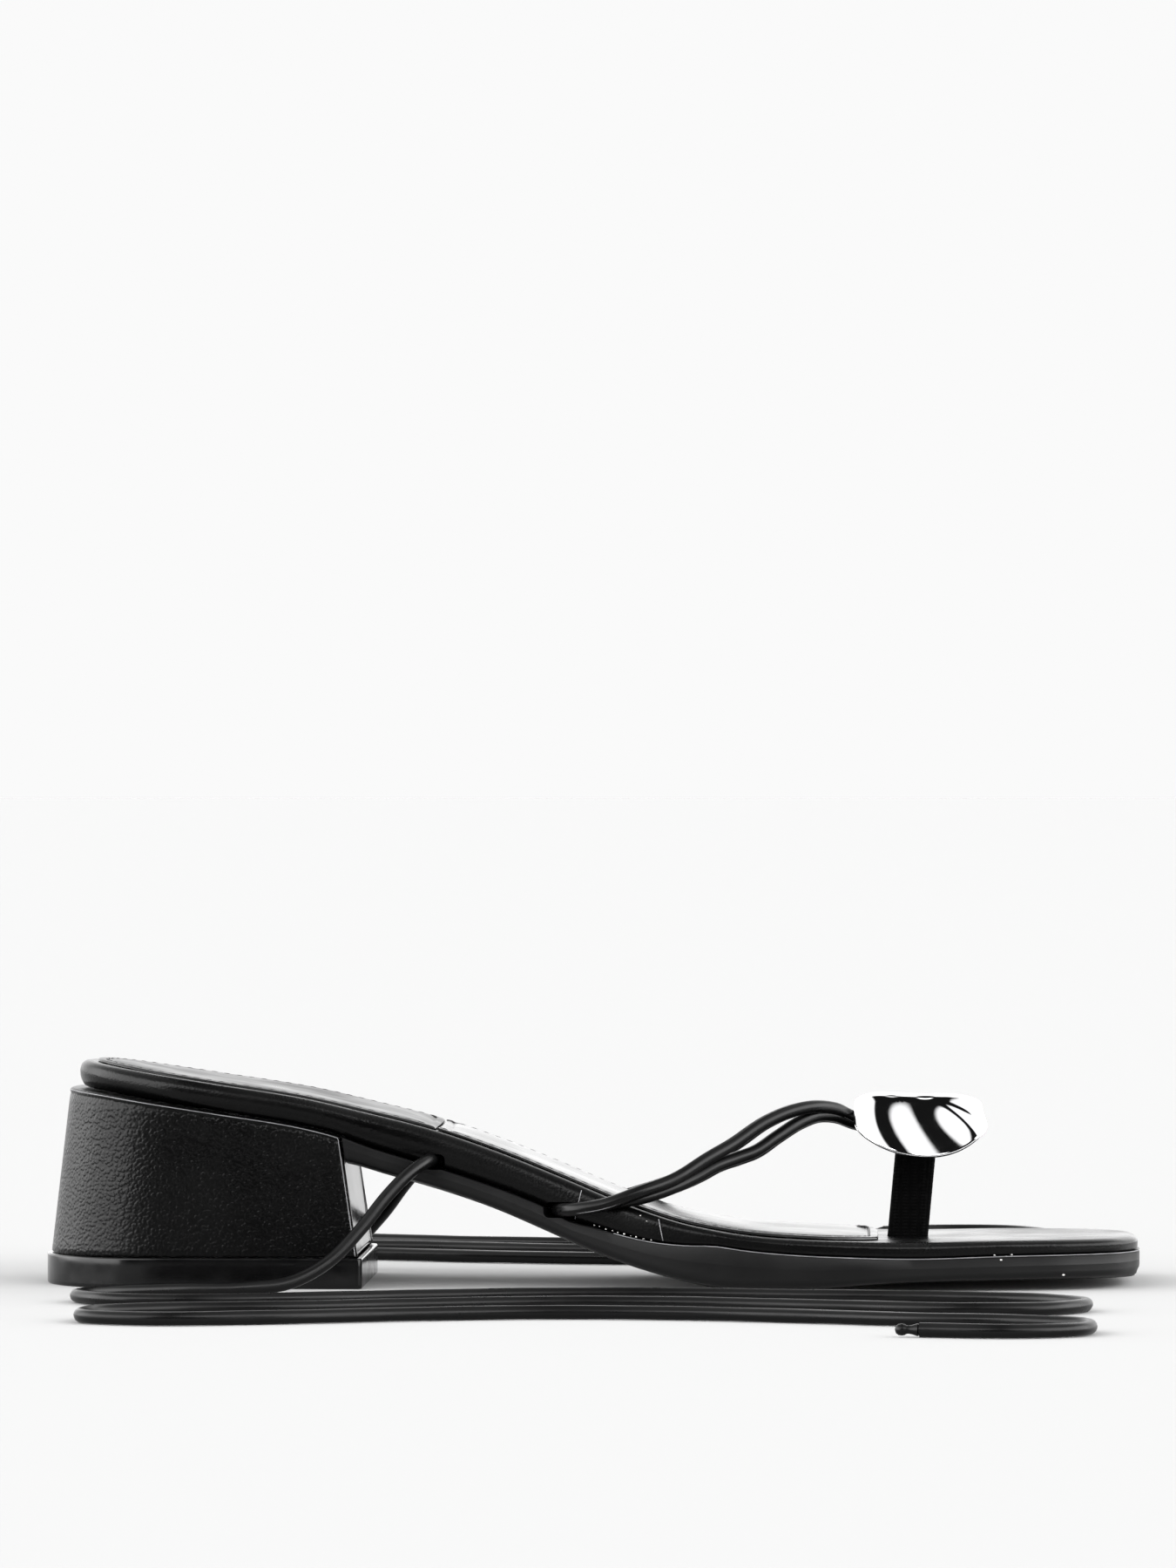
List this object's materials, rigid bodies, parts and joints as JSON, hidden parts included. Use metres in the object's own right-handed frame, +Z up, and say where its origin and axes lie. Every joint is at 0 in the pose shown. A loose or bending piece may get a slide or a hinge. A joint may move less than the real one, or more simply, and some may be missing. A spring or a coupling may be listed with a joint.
{
  "type": "block heel thong sandal",
  "caption": "Right women's thong sandal with a low covered block heel, twisted cord toe straps, a domed metal disc on the toe post and two free cord ankle ties.",
  "frame": {"origin": "on the floor under the middle of the shoe's length and width, measured without the ankle ties", "axes": "+X from the heel to the toe, +Y towards the inner side of the foot, +Z up"},
  "size_m": [0.2521, 0.3581, 0.0523],
  "materials": {
    "grained_leather": "black faux leather with a fine pebble grain, satin",
    "smooth_leather": "smooth black faux leather, semi-gloss",
    "sock_leather": "smooth black faux leather, padded and stitched",
    "cord_leather": "round black cord with a fine seam, semi-gloss",
    "sole_rubber": "moulded black sole, satin",
    "cap_plastic": "polished black plastic",
    "post_textile": "matte black ribbed elastic",
    "polished_metal": "mirror-polished silver metal"
  },
  "bodies": {
    "root": {"heel_block": "grained_leather", "heel_top_piece": "cap_plastic", "outsole": "sole_rubber", "footbed": "smooth_leather", "sock_lining": "sock_leather", "heel_sock": "sock_leather", "toe_straps": "cord_leather", "toe_post": "post_textile", "ornament_disc": "polished_metal", "tie_lateral": "cord_leather", "tie_medial": "cord_leather", "tie_tip_lateral": "polished_metal", "tie_tip_medial": "polished_metal"}
  },
  "joints": []
}
